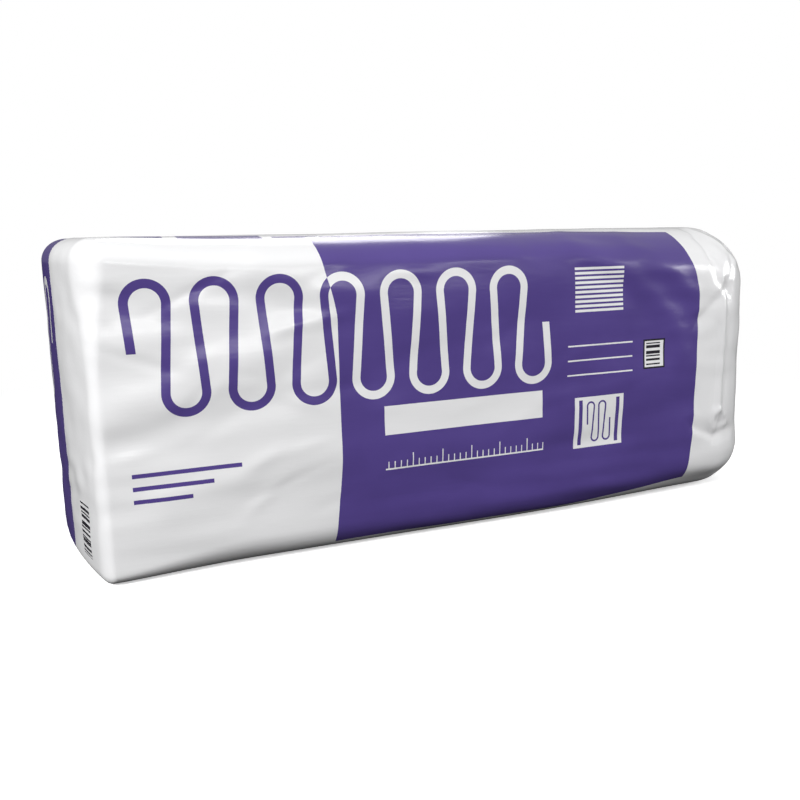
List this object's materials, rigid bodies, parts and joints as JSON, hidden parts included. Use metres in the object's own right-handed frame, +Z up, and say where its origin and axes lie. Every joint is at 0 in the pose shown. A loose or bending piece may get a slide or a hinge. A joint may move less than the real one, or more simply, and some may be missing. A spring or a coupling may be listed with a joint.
{
  "type": "bag of insulation batts",
  "caption": "Long, block-shaped plastic film bag packed tight with ten folded glass-wool insulation batts, with one smooth, bowed end and one rounded, folded and heat-sealed end.",
  "frame": {"origin": "under the middle of the bag, on the face that it rests on", "axes": "+X along the batts, towards the sealed end; +Y across the batts, away from the front; +Z up"},
  "size_m": [1.1851, 0.586, 0.4704],
  "materials": {
    "film": "satin printed polyethylene film",
    "glass_wool": "matt, fibrous"
  },
  "bodies": {
    "root": {"film_bag": "film", "batt_01": "glass_wool", "batt_02": "glass_wool", "batt_03": "glass_wool", "batt_04": "glass_wool", "batt_05": "glass_wool", "batt_06": "glass_wool", "batt_07": "glass_wool", "batt_08": "glass_wool", "batt_09": "glass_wool", "batt_10": "glass_wool"}
  },
  "joints": []
}
